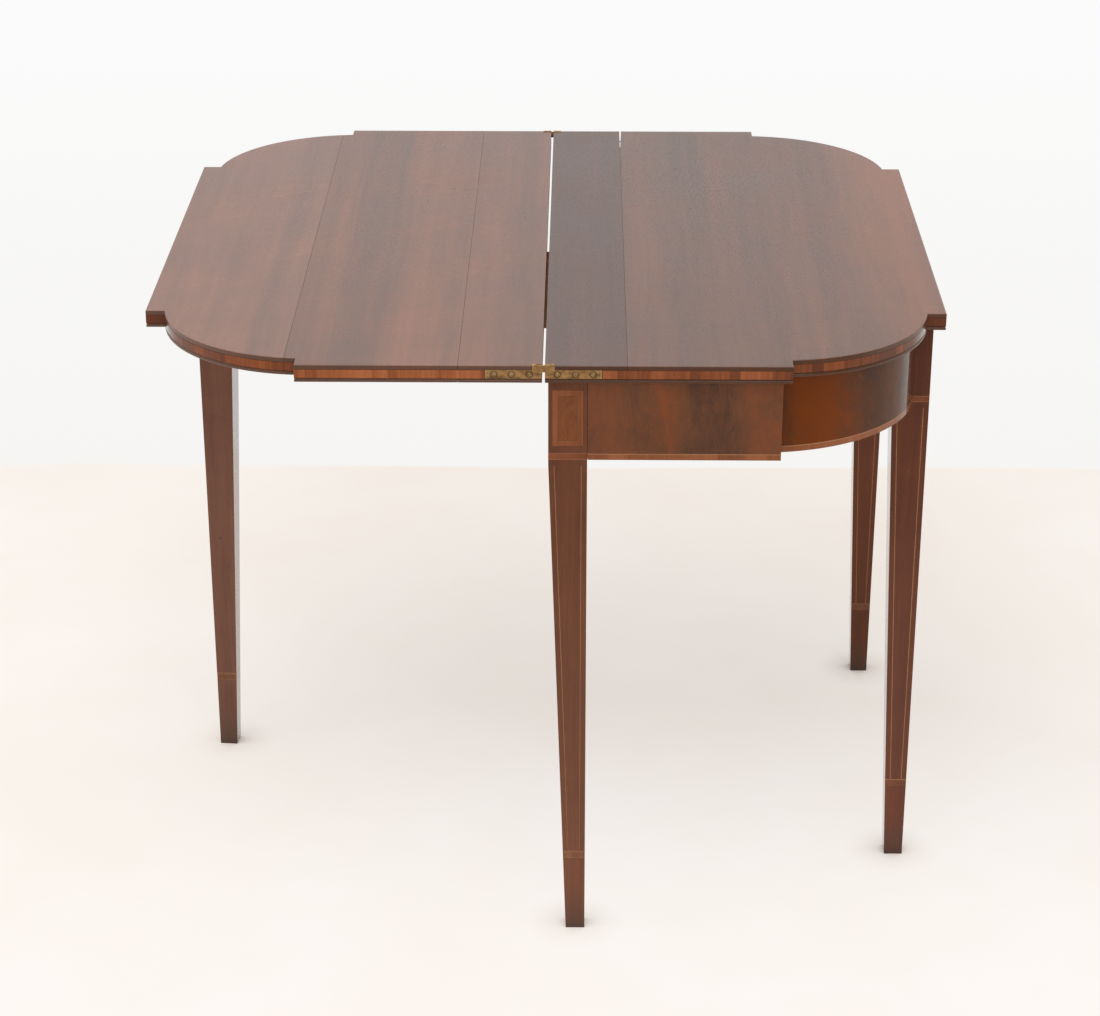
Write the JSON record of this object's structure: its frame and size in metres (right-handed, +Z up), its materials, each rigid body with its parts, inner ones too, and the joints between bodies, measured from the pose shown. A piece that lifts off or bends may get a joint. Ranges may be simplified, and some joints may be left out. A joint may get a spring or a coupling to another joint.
{
  "type": "card table",
  "caption": "Fold-over card table, shown open: shaped top in two hinged halves, inlaid frieze, square tapered legs and a leg that swings out to carry the leaf.",
  "frame": {"origin": "on the floor, under the middle of the hinge line between the two halves of the top", "axes": "+X from the hinge line to the front of the fixed half, +Y along the hinge line to the end where the swing leg closes, +Z up"},
  "size_m": [0.924, 0.914, 0.7276],
  "materials": {
    "top_wood": "polished mahogany",
    "crossband": "polished crossbanding",
    "leg_wood": "polished mahogany",
    "frieze_wood": "polished figured veneer",
    "line_inlay": "toned stringing",
    "inner_wood": "bare wood",
    "brass": "aged brass",
    "iron": "dull iron"
  },
  "bodies": {
    "table": {"top_inner_board": "top_wood", "top_outer_board": "top_wood", "top_edge_band": "crossband", "near_end_rail": "frieze_wood", "far_end_rail": "frieze_wood", "far_round_rail": "frieze_wood", "near_round_rail": "frieze_wood", "front_rail": "frieze_wood", "near_end_rail_band": "crossband", "far_end_rail_band": "crossband", "far_round_rail_band": "crossband", "near_round_rail_band": "crossband", "front_rail_band": "crossband", "inner_back_rail": "inner_wood", "outer_back_rail": "inner_wood", "knuckle_pin": "iron", "near_back_leg": "leg_wood", "near_back_leg_cuff_band": "crossband", "near_back_leg_stringing": "line_inlay", "near_back_leg_crossband": "crossband", "near_back_leg_panel_band": "crossband", "near_front_leg": "leg_wood", "near_front_leg_cuff_band": "crossband", "near_front_leg_stringing": "line_inlay", "near_front_leg_crossband": "crossband", "near_front_leg_panel_band": "crossband", "far_front_leg": "leg_wood", "far_front_leg_cuff_band": "crossband", "far_front_leg_stringing": "line_inlay", "far_front_leg_crossband": "crossband", "far_front_leg_panel_band": "crossband", "far_hinge_top_plate": "brass", "near_hinge_top_plate": "brass", "far_hinge_top_pin": "brass", "near_hinge_top_pin": "brass", "near_end_glue_block": "inner_wood", "far_end_glue_block": "inner_wood", "near_front_glue_block": "inner_wood", "near_back_glue_block": "inner_wood", "middle_front_glue_block": "inner_wood", "middle_back_glue_block": "inner_wood", "far_front_glue_block": "inner_wood", "far_back_glue_block": "inner_wood"},
    "hinge_links": {"far_hinge_link": "brass", "near_hinge_link": "brass"},
    "leaf": {"leaf_inner_board": "top_wood", "leaf_middle_board": "top_wood", "leaf_outer_board": "top_wood", "leaf_edge_band": "crossband", "far_hinge_leaf_plate": "brass", "near_hinge_leaf_plate": "brass", "far_hinge_leaf_pin": "brass", "near_hinge_leaf_pin": "brass"},
    "gate": {"fly_rail": "inner_wood", "swing_leg": "leg_wood", "swing_leg_cuff_band": "crossband", "swing_leg_stringing": "line_inlay"}
  },
  "joints": [
    {"name": "link_turn", "type": "hinge", "parent": "table", "child": "hinge_links", "pos_m": [0.005, 0, 0.7228], "axis": [0, 1, 0], "range_deg": [0, 90]},
    {"name": "leaf_fold", "type": "hinge", "parent": "hinge_links", "child": "leaf", "pos_m": [-0.005, 0, 0.7228], "axis": [0, 1, 0], "range_deg": [0, 90]},
    {"name": "gate_swing", "type": "hinge", "parent": "table", "child": "gate", "pos_m": [0.015, -0.013, 0.659], "axis": [0, 0, -1], "range_deg": [0, 85]}
  ]
}
